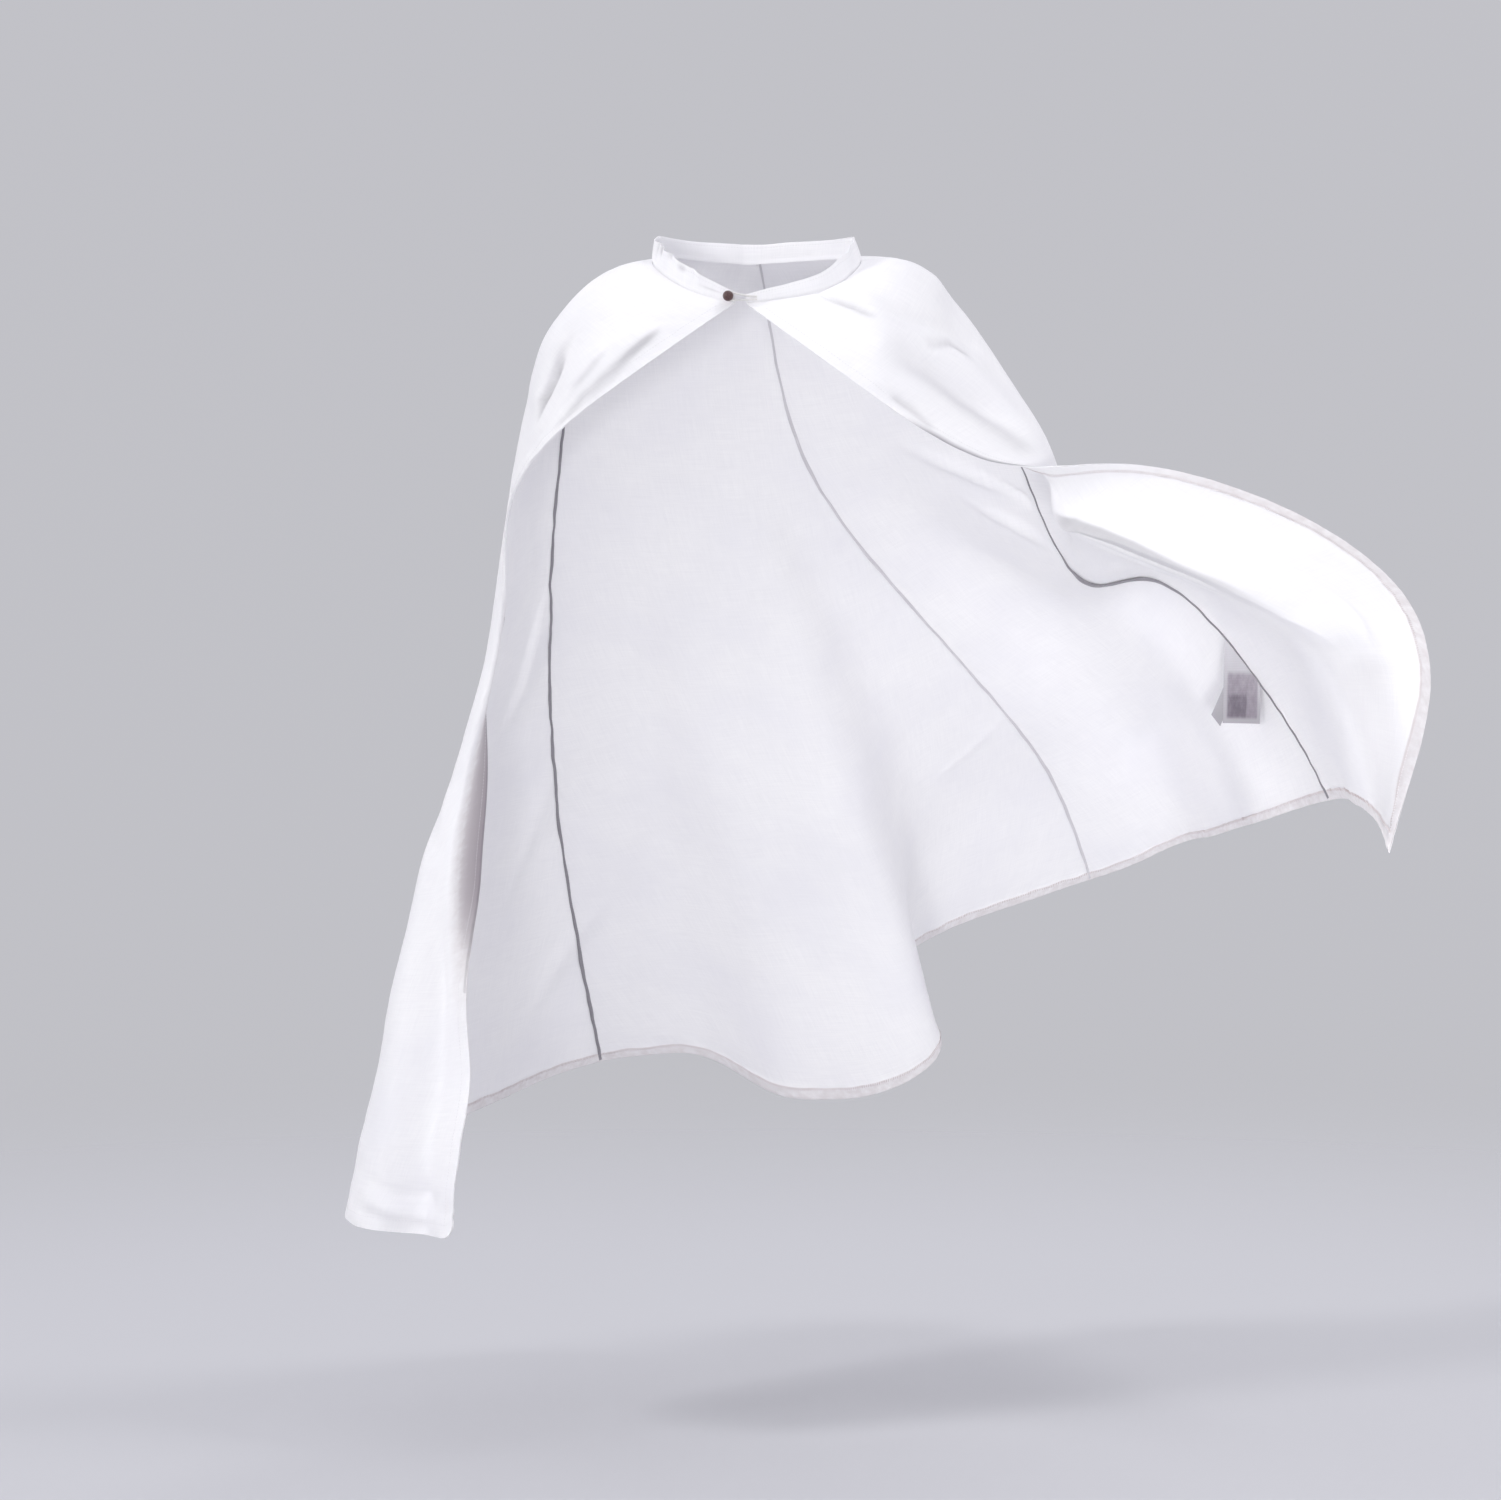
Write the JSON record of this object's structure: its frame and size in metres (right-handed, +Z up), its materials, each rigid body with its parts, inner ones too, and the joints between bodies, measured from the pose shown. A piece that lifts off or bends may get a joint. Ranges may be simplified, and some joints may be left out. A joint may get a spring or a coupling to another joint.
{
  "type": "worn cape",
  "caption": "Full-length plain white cotton cape with a low collar and a bead-and-loop clasp at the neck, hollow as worn and blown out to the wearer's left by the wind.",
  "frame": {"origin": "middle of the neck at the height of the wearer's collar bones, where the wearer's neck and shoulders hold the cape", "axes": "+Z up along the wearer's neck, +X to the wearer's left, the way the cape is blown, -Y to the wearer's front"},
  "size_m": [1.3904, 0.9655, 1.2614],
  "materials": {
    "cotton": "matt plain-woven cotton, white",
    "bead": "dark brown, waxed",
    "cord": "twisted cotton cord, white",
    "label": "grey satin tape, blank"
  },
  "bodies": {
    "root": {"gore_right_front": "cotton", "gore_right_back": "cotton", "gore_left_back": "cotton", "gore_left_front": "cotton", "collar": "cotton", "clasp_bead": "bead", "clasp_loop": "cord", "care_label": "label", "care_tab": "label"}
  },
  "joints": []
}
